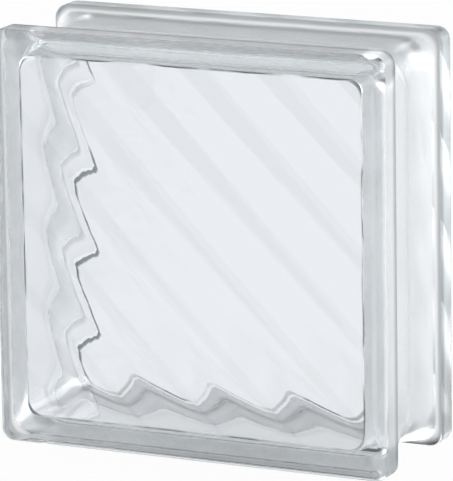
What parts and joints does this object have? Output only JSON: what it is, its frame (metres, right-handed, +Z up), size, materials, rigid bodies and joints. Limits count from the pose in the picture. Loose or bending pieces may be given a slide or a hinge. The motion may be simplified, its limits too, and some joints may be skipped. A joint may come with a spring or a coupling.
{
  "type": "glass block",
  "caption": "Square hollow building block of clear pressed glass with rounded rims, a frosted mortar channel round its edges and diagonal waves on its inner faces.",
  "frame": {"origin": "centre of the block's footprint, on the level floor it stands on", "axes": "+Z up, +Y through the block's depth from its front face to its back face, +X to the right as seen from the front"},
  "size_m": [0.19, 0.08, 0.19],
  "materials": {
    "clear_glass": "clear, polished by pressing, with a faint cool tint, and frosted white in the channel round its edges"
  },
  "bodies": {
    "root": {"glass_block": "clear_glass"}
  },
  "joints": []
}
